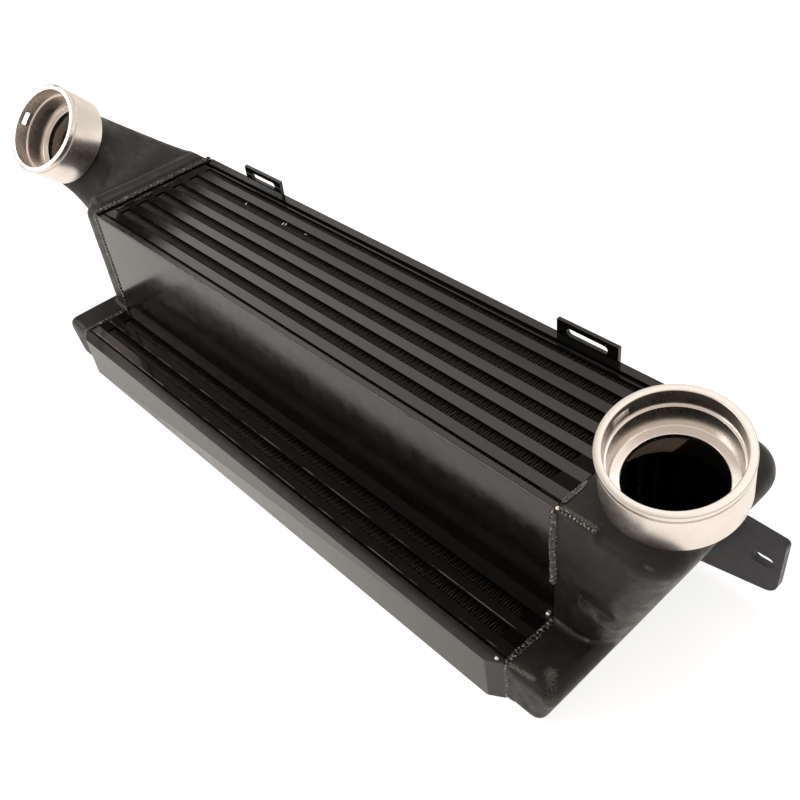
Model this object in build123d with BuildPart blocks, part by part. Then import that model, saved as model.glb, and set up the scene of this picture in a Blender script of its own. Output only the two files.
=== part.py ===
from build123d import *
import math
import os

os.makedirs("parts", exist_ok=True)

# Stepped bar and plate charge air cooler: a deep stack behind, a shallow stack in front.
# The frame's origin is on the underside, at mid length, under the middle of the step plate.
# X runs along the core to the outlet tank, Y from the shallow stack to the deep one, Z up.
# Every size is in millimetres.

# Core block
core_length = 520.0
deep_depth = 140.4
shallow_depth = 38.1
deep_passages = 6
shallow_passages = 2
bar_width = 6.7
bar_depth = 8.0
sheet_thickness = 0.8
fin_height = 10.0
edge_fin_height = 1.8
rear_fin_height = 6.0
end_bar_length = 15.0
fin_recess = 1.2

# Folded sheet inside the rows
fold_pitch = 9.28
fin_gauge = 0.4
turbulator_pitch = 7.6
turbulator_gauge = 0.4

# Side plates
step_plate_thickness = 6.0
step_plate_corner = 1.2
inner_plate_thickness = 4.7
rear_plate_thickness = 7.0
rear_land_thickness = 4.7
rear_land_recess = 4.0
front_plate_thickness = 9.1
front_plate_set_back = 6.2
front_plate_end_taper = 10.0
front_plate_corner = 5.0

# Cast end tanks
tank_wall = 4.0
tank_foot_reach = 27.0
tank_wall_slope = 0.3775
seam_length = 6.0
seam_corner = 3.0
low_block_radius = 6.0
low_block_corner = 9.0
low_block_overlap = 20.0
outlet_plan_corner = 25.0
outlet_rim_radius = 12.0
shoulder_length = 28.0
shoulder_low = 100.0
inlet_reach = 28.0
inlet_plan_corner = 11.0
inlet_rim_radius = 9.0
hollow_overrun = 1.0
same_place = 0.01

# Collars that the hoses clip into
collar_rim_radius = 42.0
collar_lip_depth = 3.6
collar_groove_radius = 40.6
collar_groove_depth = 2.2
collar_body_radius = 41.7
collar_cup_radius = 37.2
collar_cup_depth = 13.1
collar_seal_radius = 35.7
collar_shelf_depth = 31.4
collar_bore_radius = 29.5
collar_length = 35.5
collar_edge = 0.8
clip_slot_width = 12.0
clip_slot_height = 4.5
clip_slot_below_rim = 4.0
clip_slot_cut = 20.0

# Where the two collars sit and the way they look, as azimuth and elevation in degrees
outlet_overhang = 44.0
outlet_rear_distance = 75.4
outlet_rise = 11.0
outlet_azimuth = -76.7
outlet_elevation = 76.0
outlet_clip_clock = 162.0
outlet_neck_radius = 40.5
outlet_neck_drop = 44.0
outlet_neck_foot_radius = 31.0
outlet_neck_foot_shift = 8.0
inlet_overhang = 115.2
inlet_rear_distance = 80.3
inlet_rise = 17.5
inlet_azimuth = -81.8
inlet_elevation = 44.6
inlet_clip_clock = 174.0
inlet_neck_radius = 37.0
inlet_neck_sag = 3.0
inlet_bend_shift = (-18.5, 13.0, -11.5)
inlet_bend_width = 94.0
inlet_bend_depth = 68.0
inlet_bend_corner = 22.0
inlet_root_middle = 63.0
inlet_root_height = 111.0
inlet_root_width = 119.0
inlet_root_depth = 65.0
inlet_root_corner = 10.0
inlet_root_bury = 20.0
loft_flat = 0.05

# Hollow under the bulge of the outlet tank
hollow_start = 20.0
hollow_low = 66.0
hollow_high = 86.0
hollow_sink = 5.0

# Hangers welded to the core and to the outlet tank
tab_length = 51.0
tab_height = 14.2
tab_thickness = 3.0
tab_set_back = 1.1
tab_slot_length = 34.0
tab_slot_height = 6.0
tab_slot_rise = 7.3
tab_end_distances = (88.0, 74.0)
ear_thickness = 6.0
ear_reach = 85.0
ear_low = 6.0
ear_low_tip = 20.0
ear_high = 70.0
ear_high_tip = 67.5
ear_root = 18.0
ear_corner = 10.0
ear_tip_corner = 3.5
ear_slot_length = 16.0
ear_slot_height = 9.4
ear_slot_reach = 72.0
ear_slot_rise = 44.0

# Seam beads
bead_height = 1.2
bead_width = 3.2

# Places that follow from the sizes above
half_length = core_length / 2
passage = bar_width + 2 * sheet_thickness
row_pitch = passage + fin_height
step_front = -step_plate_thickness / 2
step_rear = step_plate_thickness / 2
deep_stack_start = step_rear + edge_fin_height
deep_stack_end = deep_stack_start + deep_passages * row_pitch - fin_height
rear_sheet_start = deep_stack_end + rear_fin_height
rear_land_start = rear_sheet_start + sheet_thickness
rear_plate_start = rear_land_start + rear_land_thickness
rear_face = rear_plate_start + rear_plate_thickness
inner_plate_front = step_front - inner_plate_thickness
shallow_stack_front = inner_plate_front - shallow_passages * row_pitch
front_plate_rear = shallow_stack_front - edge_fin_height
front_face = front_plate_rear - front_plate_thickness
tank_front = front_face + front_plate_set_back
fin_length = core_length - 2 * end_bar_length


def block(x_range, y_range, z_range):
    """A rectangular solid from its low and high places along each axis."""
    sizes = [high - low for low, high in (x_range, y_range, z_range)]
    middle = [(high + low) / 2 for low, high in (x_range, y_range, z_range)]
    with Locations(tuple(middle)):
        Box(*sizes)


def fold_points(length, height, pitch, gauge):
    """Outline of a sheet folded in V folds along the first axis, centred on it."""
    legs = 2 * max(1, round(length / pitch))
    leg = length / legs
    slant = math.atan2(height, leg)
    thickness = gauge / math.cos(slant)
    swing = (height - thickness) / 2
    line = [(-length / 2 + i * leg, swing if i % 2 else -swing) for i in range(legs + 1)]
    upper = [(along, across + thickness / 2) for along, across in line]
    lower = [(along, across - thickness / 2) for along, across in reversed(line)]
    return upper + lower


def aim(azimuth, elevation):
    """Unit vector from a compass angle about Z and a height angle, in degrees."""
    turn = math.radians(azimuth)
    lift = math.radians(elevation)
    return Vector(math.cos(lift) * math.cos(turn), math.cos(lift) * math.sin(turn), math.sin(lift))


outlet_aim = aim(outlet_azimuth, outlet_elevation)
inlet_aim = aim(inlet_azimuth, inlet_elevation)
outlet_seat = Vector(half_length + outlet_overhang, rear_face - outlet_rear_distance, deep_depth + outlet_rise)
inlet_seat = Vector(-half_length - inlet_overhang, rear_face - inlet_rear_distance, deep_depth + inlet_rise)


def seat_plane(seat, direction, lift=0.0):
    """Plane square to a collar's axis, its first axis level."""
    level = Vector(0, 0, 1).cross(direction).normalized()
    return Plane(origin=seat + direction * lift, x_dir=level, z_dir=direction)


# Passages: two bars and two parting sheets each, with a turbulator between them
def passage_rows(prefix, count, first, depth):
    for index in range(count):
        number = index + 1
        front = first + index * row_pitch
        bars_front = front + sheet_thickness
        bars_rear = bars_front + bar_width
        middle = front + passage / 2
        with BuildPart() as bars:
            for low in (0.0, depth - bar_depth):
                block((-half_length, half_length), (bars_front, bars_rear), (low, low + bar_depth))
        bars.part.label = f"{prefix}_bars_{number}"
        export_step(bars.part, f"parts/{bars.part.label}.step")

        with BuildPart() as sheets:
            for near in (front, bars_rear):
                block((-half_length, half_length), (near, near + sheet_thickness), (0.0, depth))
        sheets.part.label = f"{prefix}_sheets_{number}"
        export_step(sheets.part, f"parts/{sheets.part.label}.step")

        outline = fold_points(depth - 2 * bar_depth, bar_width, turbulator_pitch, turbulator_gauge)
        with BuildPart() as turbulator:
            with BuildSketch(Plane.YZ.offset(-half_length)):
                with BuildLine():
                    Polyline([(middle + across, depth / 2 + along) for along, across in outline], close=True)
                make_face()
            extrude(amount=core_length)
        turbulator.part.label = f"{prefix}_turbulator_{number}"
        export_step(turbulator.part, f"parts/{turbulator.part.label}.step")


# Air fins: V folded sheet between two rows, closed at each end by a bar
def fin_row(name, front, height, depth):
    middle = front + height / 2
    with BuildPart() as fins:
        with BuildSketch(Plane.XY.offset(fin_recess)):
            with BuildLine():
                folds = fold_points(fin_length, height, fold_pitch, fin_gauge)
                Polyline([(along, middle + across) for along, across in folds], close=True)
            make_face()
        extrude(amount=depth - 2 * fin_recess)
    fins.part.label = f"{name}_fins"
    export_step(fins.part, f"parts/{name}_fins.step")

    with BuildPart() as end_bars:
        for side in (-1, 1):
            ends = sorted((side * half_length, side * (half_length - end_bar_length)))
            block(ends, (front, front + height), (0.0, depth))
    end_bars.part.label = f"{name}_end_bars"
    export_step(end_bars.part, f"parts/{name}_end_bars.step")


passage_rows("deep", deep_passages, deep_stack_start, deep_depth)
passage_rows("shallow", shallow_passages, shallow_stack_front, shallow_depth)

for gap in range(deep_passages - 1):
    fin_row(f"deep_{gap + 1}", deep_stack_start + gap * row_pitch + passage, fin_height, deep_depth)
for gap in range(shallow_passages):
    fin_row(f"shallow_{gap + 1}", shallow_stack_front + gap * row_pitch + passage, fin_height, shallow_depth)
fin_row("rear", deep_stack_end, rear_fin_height, deep_depth)
fin_row("step", step_rear, edge_fin_height, deep_depth)
fin_row("front", front_plate_rear, edge_fin_height, shallow_depth)

# Side plates
with BuildPart() as rear_sheet:
    block((-half_length, half_length), (rear_sheet_start, rear_land_start), (0.0, deep_depth))
rear_sheet.part.label = "rear_sheet"
export_step(rear_sheet.part, "parts/rear_sheet.step")

with BuildPart() as rear_side_plate:
    block((-half_length, half_length), (rear_plate_start, rear_face), (0.0, deep_depth))
    block(
        (-half_length, half_length),
        (rear_land_start, rear_plate_start),
        (rear_land_recess, deep_depth - rear_land_recess),
    )
rear_side_plate.part.label = "rear_side_plate"
export_step(rear_side_plate.part, "parts/rear_side_plate.step")

with BuildPart() as step_side_plate:
    block((-half_length, half_length), (step_front, step_rear), (0.0, deep_depth))
    fillet(step_side_plate.faces().sort_by(Axis.Z)[-1].edges().filter_by(Axis.X), step_plate_corner)
step_side_plate.part.label = "step_side_plate"
export_step(step_side_plate.part, "parts/step_side_plate.step")

with BuildPart() as inner_side_plate:
    block((-half_length, half_length), (inner_plate_front, step_front), (0.0, shallow_depth))
inner_side_plate.part.label = "inner_side_plate"
export_step(inner_side_plate.part, "parts/inner_side_plate.step")

with BuildPart() as front_side_plate:
    with BuildSketch():
        with BuildLine():
            Polyline(
                (-half_length, front_plate_rear),
                (-half_length, tank_front),
                (-half_length + front_plate_end_taper, front_face),
                (half_length - front_plate_end_taper, front_face),
                (half_length, tank_front),
                (half_length, front_plate_rear),
                close=True,
            )
        make_face()
    extrude(amount=shallow_depth)
    tapers = front_side_plate.edges().filter_by(Axis.Z).group_by(Axis.Y)[0]
    fillet(tapers, front_plate_corner)
front_side_plate.part.label = "front_side_plate"
export_step(front_side_plate.part, "parts/front_side_plate.step")


# End tanks: every body is drawn once and its hollow is the same outline set in by the wall
def low_block(side, wall=0.0):
    """Foot of a tank, over the end of the shallow stack, or its hollow when given a wall."""
    buried = wall + hollow_overrun if wall else 0.0
    foot = half_length + tank_foot_reach
    brow = foot + tank_wall_slope * shallow_depth
    rear = step_front + low_block_overlap
    with BuildPart() as body:
        with BuildSketch(Plane(origin=(0, rear - wall, 0), x_dir=(1, 0, 0), z_dir=(0, -1, 0))):
            with BuildLine():
                Polyline(
                    (side * (half_length - buried), 0),
                    (side * foot, 0),
                    (side * brow, shallow_depth),
                    (side * (half_length - buried), shallow_depth),
                    close=True,
                )
            make_face()
            fillet([v for v in vertices() if side * v.X > half_length], low_block_corner)
            if wall:
                offset(amount=-wall, mode=Mode.REPLACE)
        extrude(amount=rear - tank_front - 2 * wall)
        start = half_length - (hollow_overrun if wall else 0.0)
        rims = faces().filter_by(Axis.Y).edges()
        fillet([e for e in rims if side * e.center().X > start + same_place], low_block_radius - wall)
    return body.part


def deep_body(side, foot, brow, plan_corner, rim_radius, sink=0.0, wall=0.0):
    """Deep part of a tank, from its foot outline to its top outline, or its hollow."""
    buried = wall + hollow_overrun if wall else 0.0
    front = step_front + sink
    with BuildPart() as body:
        for height in (wall, deep_depth - wall):
            outer = half_length + foot + (brow - foot) * height / deep_depth
            with BuildSketch(Plane.XY.offset(height)):
                with BuildLine():
                    Polyline(
                        (side * (half_length - buried), front),
                        (side * outer, front),
                        (side * outer, rear_face),
                        (side * (half_length - buried), rear_face),
                        close=True,
                    )
                make_face()
                fillet([v for v in vertices() if side * v.X > half_length], plan_corner)
                if wall:
                    offset(amount=-wall, mode=Mode.REPLACE)
        loft()
        start = half_length - (hollow_overrun if wall else 0.0)
        rims = faces().filter_by(Axis.Z).edges()
        fillet([e for e in rims if side * e.center().X > start + same_place], rim_radius - wall)
    return body.part


def seam(side):
    """Square edged end of the casting where it meets the core."""
    with BuildPart() as rim:
        with BuildSketch(Plane.YZ.offset(side * half_length)):
            with Locations(((step_front + rear_face) / 2, deep_depth / 2)):
                RectangleRounded(rear_face - step_front, deep_depth, seam_corner)
            with Locations(((tank_front + step_rear) / 2, shallow_depth / 2)):
                RectangleRounded(step_rear - tank_front, shallow_depth, seam_corner)
        extrude(amount=side * seam_length)
    return rim.part


def outlet_body(wall=0.0):
    brow = tank_foot_reach + tank_wall_slope * deep_depth
    sink = hollow_sink if wall else 0.0
    return deep_body(1, tank_foot_reach, brow, outlet_plan_corner, outlet_rim_radius, sink, wall)


def outlet_neck(wall=0.0, lift=0.0):
    """Tapered neck from inside the outlet tank up to its collar's seat."""
    foot_height = deep_depth + outlet_rise - outlet_neck_drop
    drift = outlet_aim * (outlet_neck_drop / outlet_aim.Z)
    foot = outlet_seat - drift - Vector(outlet_neck_foot_shift, 0, 0)
    with BuildPart() as neck:
        with BuildSketch(Plane.XY.offset(foot_height)):
            with Locations((foot.X, foot.Y)):
                Circle(outlet_neck_foot_radius - wall)
        with BuildSketch(seat_plane(outlet_seat, outlet_aim, lift)):
            Circle(outlet_neck_radius - wall)
        loft()
    return neck.part


def inlet_body(wall=0.0):
    return deep_body(-1, inlet_reach, inlet_reach, inlet_plan_corner, inlet_rim_radius, 0.0, wall)


def inlet_neck(wall=0.0, lift=0.0):
    """Neck that leaves the outer wall of the inlet tank and turns forward and up to its collar."""
    seat = seat_plane(inlet_seat, inlet_aim, lift)
    end = seat.origin - seat.y_dir * (0.0 if wall else inlet_neck_sag)
    root_centre = Vector(-half_length - inlet_reach, inlet_root_middle, inlet_root_height)
    bend_centre = (root_centre + end) / 2 + Vector(*inlet_bend_shift)
    root = Plane(origin=root_centre, x_dir=(0, -1, 0), z_dir=(-1, 0, 0))
    bend = seat_plane(bend_centre, (inlet_aim - Vector(1, 0, 0)).normalized())
    end_radius = collar_bore_radius if wall else inlet_neck_radius
    with BuildPart() as neck:
        with BuildSketch(root):
            RectangleRounded(inlet_root_width - 2 * wall, inlet_root_depth - 2 * wall, inlet_root_corner - wall)
        with BuildSketch(bend):
            RectangleRounded(inlet_bend_width - 2 * wall, inlet_bend_depth - 2 * wall, inlet_bend_corner - wall)
        # Drawn with eight edges like the other two, so that the loft doesn't twist
        with BuildSketch(Plane(origin=end, x_dir=seat.x_dir, z_dir=seat.z_dir)):
            RectangleRounded(2 * end_radius, 2 * end_radius, end_radius - loft_flat)
        loft()
        with BuildSketch(root):
            RectangleRounded(inlet_root_width - 2 * wall, inlet_root_depth - 2 * wall, inlet_root_corner - wall)
        extrude(amount=-inlet_root_bury)
    return neck.part


with BuildPart() as outlet_tank:
    add(outlet_body())
    add(low_block(1))
    add(seam(1))
    block((half_length, half_length + shoulder_length), (step_front, rear_face), (shoulder_low, deep_depth))
    add(outlet_neck())
    add(outlet_body(tank_wall), mode=Mode.SUBTRACT)
    add(low_block(1, tank_wall), mode=Mode.SUBTRACT)
    add(outlet_neck(tank_wall, hollow_overrun), mode=Mode.SUBTRACT)
    with BuildSketch(Plane.YZ.offset(half_length + hollow_start)):
        with BuildLine():
            Polyline(
                (step_front, hollow_low),
                (step_front + hollow_sink, hollow_low + hollow_sink),
                (step_front, hollow_high),
                (step_front - hollow_sink, hollow_high),
                (step_front - hollow_sink, hollow_low),
                close=True,
            )
        make_face()
    extrude(amount=outlet_overhang + outlet_neck_radius, mode=Mode.SUBTRACT)
outlet_tank.part.label = "right_end_tank"
export_step(outlet_tank.part, "parts/right_end_tank.step")

with BuildPart() as inlet_tank:
    add(inlet_body())
    add(low_block(-1))
    add(seam(-1))
    add(inlet_neck())
    add(inlet_body(tank_wall), mode=Mode.SUBTRACT)
    add(low_block(-1, tank_wall), mode=Mode.SUBTRACT)
    add(inlet_neck(tank_wall, hollow_overrun), mode=Mode.SUBTRACT)
inlet_tank.part.label = "left_end_tank"
export_step(inlet_tank.part, "parts/left_end_tank.step")


# Collars: one turned ring, drawn as a half section from its seat up and spun about its axis
def collar(name, seat, direction, clip_clock):
    base = seat_plane(seat, direction)
    groove_start = collar_length - collar_lip_depth
    section = [
        (collar_bore_radius, 0),
        (collar_body_radius, 0),
        (collar_body_radius, groove_start - collar_groove_depth),
        (collar_groove_radius, groove_start - collar_groove_depth),
        (collar_groove_radius, groove_start),
        (collar_rim_radius, groove_start),
        (collar_rim_radius, collar_length - collar_edge),
        (collar_rim_radius - collar_edge, collar_length),
        (collar_cup_radius + collar_edge, collar_length),
        (collar_cup_radius, collar_length - collar_edge),
        (collar_cup_radius, collar_length - collar_cup_depth),
        (collar_seal_radius, collar_length - collar_cup_depth),
        (collar_seal_radius, collar_length - collar_shelf_depth),
        (collar_bore_radius, collar_length - collar_shelf_depth),
    ]
    spin = Plane(origin=base.origin, x_dir=base.x_dir, z_dir=-base.y_dir)
    slot_height = collar_length - clip_slot_below_rim - clip_slot_height / 2
    with BuildPart() as ring:
        with BuildSketch(spin):
            with BuildLine():
                Polyline(section, close=True)
            make_face()
        revolve(axis=Axis(base.origin, base.z_dir))
        turned = base.rotated((0, 0, clip_clock)).offset(slot_height)
        with Locations(turned):
            with Locations((collar_rim_radius, 0, 0)):
                Box(clip_slot_cut, clip_slot_width, clip_slot_height, mode=Mode.SUBTRACT)
    ring.part.label = name
    export_step(ring.part, f"parts/{name}.step")


collar("outlet_collar", outlet_seat, outlet_aim, outlet_clip_clock)
collar("inlet_collar", inlet_seat, inlet_aim, inlet_clip_clock)

# Hanger tabs: slotted plates welded upright on the rear side plate
tab_centres = (-half_length + tab_end_distances[0], half_length - tab_end_distances[1])
for number, centre in enumerate(tab_centres, start=1):
    foot = (centre, rear_face - tab_set_back, deep_depth)
    with BuildPart() as tab:
        with BuildSketch(Plane(origin=foot, x_dir=(1, 0, 0), z_dir=(0, -1, 0))):
            with Locations((0, tab_height / 2)):
                Rectangle(tab_length, tab_height)
            with Locations((0, tab_slot_rise)):
                SlotOverall(tab_slot_length, tab_slot_height, mode=Mode.SUBTRACT)
        extrude(amount=tab_thickness)
    tab.part.label = f"hanger_tab_{number}"
    export_step(tab.part, f"parts/hanger_tab_{number}.step")

# Mounting ear: slotted plate on the outlet tank, flush with its rear face
with BuildPart() as mounting_ear:
    with BuildSketch(Plane(origin=(half_length, rear_face, 0), x_dir=(1, 0, 0), z_dir=(0, -1, 0))):
        with BuildLine():
            Polyline(
                (ear_root, ear_low),
                (ear_reach, ear_low_tip),
                (ear_reach, ear_high_tip),
                (ear_root, ear_high),
                close=True,
            )
        make_face()
        fillet(vertices().group_by(Axis.X)[-1].sort_by(Axis.Y)[0], ear_corner)
        fillet(vertices().group_by(Axis.X)[-1].sort_by(Axis.Y)[-1], ear_tip_corner)
        with Locations((ear_slot_reach, ear_slot_rise)):
            SlotOverall(ear_slot_length, ear_slot_height, mode=Mode.SUBTRACT)
    extrude(amount=ear_thickness)
    add(outlet_tank.part, mode=Mode.SUBTRACT)
    add(outlet_body(tank_wall), mode=Mode.SUBTRACT)
mounting_ear.part.label = "mounting_ear"
export_step(mounting_ear.part, "parts/mounting_ear.step")

# Seam beads: a raised band on each tank beside the core, open underneath
for name, side, tank in (("left_seam_bead", -1, inlet_tank), ("right_seam_bead", 1, outlet_tank)):
    with BuildPart() as bead:
        with BuildSketch(Plane.YZ.offset(side * half_length)):
            with BuildLine():
                Polyline(
                    (tank_front - bead_height, 0),
                    (tank_front - bead_height, shallow_depth + bead_height),
                    (step_front - bead_height, shallow_depth + bead_height),
                    (step_front - bead_height, deep_depth + bead_height),
                    (rear_face + bead_height, deep_depth + bead_height),
                    (rear_face + bead_height, 0),
                    close=True,
                )
            make_face()
        extrude(amount=side * bead_width)
        add(seam(side), mode=Mode.SUBTRACT)
        add(tank.part, mode=Mode.SUBTRACT)
    bead.part.label = name
    export_step(bead.part, f"parts/{name}.step")
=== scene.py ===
import math
import random
import bmesh
import bpy
import numpy as np
from mathutils import Matrix, Vector, noise
from mathutils.bvhtree import BVHTree


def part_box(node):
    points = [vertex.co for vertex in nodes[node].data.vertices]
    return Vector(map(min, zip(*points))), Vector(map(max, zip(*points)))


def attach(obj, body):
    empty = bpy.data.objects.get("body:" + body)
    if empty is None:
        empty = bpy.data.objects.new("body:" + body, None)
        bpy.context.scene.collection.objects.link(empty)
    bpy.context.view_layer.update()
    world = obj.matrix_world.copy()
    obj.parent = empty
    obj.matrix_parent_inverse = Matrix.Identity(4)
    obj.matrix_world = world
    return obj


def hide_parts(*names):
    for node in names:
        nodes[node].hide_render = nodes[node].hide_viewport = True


# Stepped charge air cooler: black painted bar and plate core, cast tanks, bare aluminium collars.
# Metres, in the CAD frame: X runs along the core, Y to the deep stack, Z up.
# Sizes and places in the dictionaries are in millimetres, and those of the stage in metres.

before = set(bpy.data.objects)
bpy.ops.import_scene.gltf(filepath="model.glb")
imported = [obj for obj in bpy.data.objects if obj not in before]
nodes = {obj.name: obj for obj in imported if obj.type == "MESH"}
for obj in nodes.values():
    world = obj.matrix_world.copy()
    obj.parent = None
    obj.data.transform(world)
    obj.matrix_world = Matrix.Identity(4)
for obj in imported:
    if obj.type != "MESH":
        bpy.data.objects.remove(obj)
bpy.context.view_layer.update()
scene = bpy.context.scene
scene.view_settings.view_transform = "Standard"
mm = 0.001
print("frame loaded:", len(nodes), "nodes")


# Small helpers

def toLinear(hexCode):
    channels = [int(hexCode[i:i + 2], 16) / 255 for i in (1, 3, 5)]
    return [c / 12.92 if c <= 0.04045 else ((c + 0.055) / 1.055) ** 2.4 for c in channels] + [1.0]


def addNode(tree, kind, settings={}, links={}):
    # a node given as a link stands for its first output in use
    node = tree.nodes.new("ShaderNode" + kind)
    for name, value in settings.items():
        if isinstance(name, int) or name in node.inputs:
            node.inputs[name].default_value = value
        else:
            setattr(node, name, value)
    for name, source in links.items():
        if isinstance(source, bpy.types.Node):
            source = next(output for output in source.outputs if output.enabled)
        tree.links.new(source, node.inputs[name])
    return node


def perMillimetre(size):
    return 1 / (size * mm)  # texture scale that repeats about once in this many millimetres


def newMaterial(name, settings):
    material = bpy.data.materials.new(name)
    material.use_nodes = True
    tree = material.node_tree
    shader = tree.nodes["Principled BSDF"]
    for socket, value in settings.items():
        shader.inputs[socket].default_value = value
    place = addNode(tree, "TexCoord").outputs["Object"]
    return material, tree, shader, place


def placePiece(name, mesh, material, replaced=(), sharpAngle=30):
    piece = bpy.data.objects.new(name, mesh)
    scene.collection.objects.link(piece)
    mesh.materials.clear()
    mesh.materials.append(material)
    mesh.polygons.foreach_set("use_smooth", [True] * len(mesh.polygons))
    if sharpAngle:
        mesh.set_sharp_from_angle(angle=math.radians(sharpAngle))
    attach(piece, "root")
    if replaced:
        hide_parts(*replaced)
    return piece


def readVectors(items, field):
    values = np.zeros(len(items) * 3)
    items.foreach_get(field, values)
    return values.reshape(-1, 3)


def addShade(mesh, name, values):
    attribute = mesh.attributes.new(name, "FLOAT", "POINT")
    attribute.data.foreach_set("value", values.astype(np.float32))


# Black paints

paints = {
    # tones, roughness and the orange peel's size and depth; sheen is how strongly the coat mirrors,
    # and chips the tone of light chips, metal showing through and painted glints in one
    "core": {"base": "#0d0c0b", "dust": "#15120f", "roughness": 0.075, "peelSize": 1.8, "peelDepth": 0.0015},
    "plate": {"base": "#0d0c0b", "dust": "#15120f", "roughness": 0.15, "peelSize": 1.8, "peelDepth": 0.0015},
    # near black, barely mirroring paint for the end bars: painted shade, so that they look as dark as the
    # shaded fin rows
    "recess": {"base": "#080706", "dust": "#0e0c0a", "roughness": 0.3, "peelSize": 1.5, "peelDepth": 0.02,
               "sheen": 0.06},
    "fin": {"base": "#15110d", "dust": "#1f1811", "roughness": 0.5, "peelSize": 1.2, "peelDepth": 0.02},
    "ear": {"base": "#191a26", "dust": "#23242f", "roughness": 0.35, "peelSize": 1.4, "peelDepth": 0.02},
    "weld": {"base": "#12100f", "dust": "#1f1b18", "roughness": 0.13, "peelSize": 1.0, "peelDepth": 0.03,
             "chips": "#aaa399"},
}
paintPatterns = {
    "cloud": 14, "smear": 9, "smearLow": 0.85, "smearHigh": 1.25,
    "chip": 1.6, "chipFrom": 0.54, "chipTo": 0.64,
    # a light strip along front top edges: a painted highlight, partly rubbed paint
    "rubbing": 22, "rubbingSpan": 0.15, "rubbedTone": "#a8a29a", "rubbedWidth": 0.25, "rubbedFade": 0.35,
}
highlightedEdges = {
    # a higher value leaves less of the painted highlight and more of the black paint
    "step_side_plate": 0.25, "shallow_bars_1": 0.46, "shallow_bars_2": 0.44,
}
middle = {"From Min": 0.35, "From Max": 0.65}  # where most of a noise's values lie


def paintedEdgeHighlight(tree, place, source):
    # 1 along the front top edge of a piece, broken by noise: a painted highlight on the lit edge, partly rubbed
    # paint
    low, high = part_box(source)
    highlightStart = highlightedEdges[source]
    full = paintPatterns["rubbedWidth"] * mm
    none = full + paintPatterns["rubbedFade"] * mm
    parts = addNode(tree, "SeparateXYZ", {}, {0: place})
    front = addNode(tree, "MapRange", {
        "From Min": low.y + full, "From Max": low.y + none, "To Min": 1, "To Max": 0,
    }, {"Value": parts.outputs["Y"]})
    top = addNode(tree, "MapRange", {"From Min": high.z - none, "From Max": high.z - full},
                  {"Value": parts.outputs["Z"]})
    strip = addNode(tree, "Math", {"operation": "MULTIPLY"}, {0: front, 1: top})
    rubbing = addNode(tree, "TexNoise", {"Scale": perMillimetre(paintPatterns["rubbing"]), "Detail": 4.0},
                      {"Vector": place})
    bare = highlightStart + paintPatterns["rubbingSpan"]
    patches = addNode(tree, "MapRange", {"From Min": highlightStart, "From Max": bare}, {"Value": rubbing})
    return addNode(tree, "Math", {"operation": "MULTIPLY"}, {0: strip, 1: patches})


def blackPaint(name, base, dust, roughness, peelSize, peelDepth, sheen=0.5, chips=None, highlightedPiece=None):
    # Black stoving paint sprayed over brazed aluminium: a deep sheen that mirrors the room at a
    # low angle, with faint orange peel and a little brown dust
    material, tree, shader, place = newMaterial(name, {"IOR": 1.5, "Specular IOR Level": sheen})
    cloud = addNode(tree, "TexNoise", {"Scale": perMillimetre(paintPatterns["cloud"]), "Detail": 3.0},
                    {"Vector": place})
    dusty = addNode(tree, "MapRange", middle, {"Value": cloud})
    colour = addNode(tree, "Mix", {"data_type": "RGBA", 6: toLinear(base), 7: toLinear(dust)}, {0: dusty})
    # light speckles over the weld bead: metal showing through, and painted highlights standing in for the
    # bead's glints
    if chips:
        chip = addNode(tree, "TexNoise", {"Scale": perMillimetre(paintPatterns["chip"]), "Detail": 3.0},
                       {"Vector": place})
        limits = {"From Min": paintPatterns["chipFrom"], "From Max": paintPatterns["chipTo"]}
        chippedAndGlinting = addNode(tree, "MapRange", limits, {"Value": chip})
        colour = addNode(tree, "Mix", {"data_type": "RGBA", 7: toLinear(chips)}, {0: chippedAndGlinting, 6: colour})
    # a light strip along the front top edge, where the light catches it: painted highlight, partly rubbed paint
    if highlightedPiece:
        edge = paintedEdgeHighlight(tree, place, highlightedPiece)
        tone = toLinear(paintPatterns["rubbedTone"])
        colour = addNode(tree, "Mix", {"data_type": "RGBA", 7: tone}, {0: edge, 6: colour})
    tree.links.new(colour.outputs[2], shader.inputs["Base Color"])
    smear = addNode(tree, "TexNoise", {"Scale": perMillimetre(paintPatterns["smear"]), "Detail": 4.0},
                    {"Vector": place})
    low, high = (roughness * paintPatterns[key] for key in ("smearLow", "smearHigh"))
    uneven = addNode(tree, "MapRange", {**middle, "To Min": low, "To Max": high}, {"Value": smear})
    tree.links.new(uneven.outputs["Result"], shader.inputs["Roughness"])
    peel = addNode(tree, "TexNoise", {"Scale": perMillimetre(peelSize), "Detail": 2.0}, {"Vector": place})
    bump = addNode(tree, "Bump", {"Distance": peelDepth * mm}, {"Height": peel})
    tree.links.new(bump.outputs["Normal"], shader.inputs["Normal"])
    return material


corePaint = blackPaint("semi gloss black paint on brazed aluminium", **paints["core"])
# the low bars and the step plate carry a painted highlight along their front top edges
highlightedLowBarPaint = {
    name: blackPaint("semi gloss black paint rubbed along a low bar", **paints["core"], highlightedPiece=name)
    for name in ("shallow_bars_1", "shallow_bars_2")
}
platePaint = blackPaint("semi gloss black paint on rolled aluminium plate", **paints["plate"])
highlightedStepPaint = blackPaint(
    "semi gloss black paint rubbed along a plate edge", **paints["plate"], highlightedPiece="step_side_plate")
endBarShadePaint = blackPaint("black paint pooled in the fin recesses", **paints["recess"])
finPaint = blackPaint("black paint misted into folded aluminium fins", **paints["fin"])
earPaint = blackPaint("satin black paint on cut aluminium plate", **paints["ear"])
weldPaint = blackPaint("black paint over welded aluminium", **paints["weld"])


# Cast skin of the tanks

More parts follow.
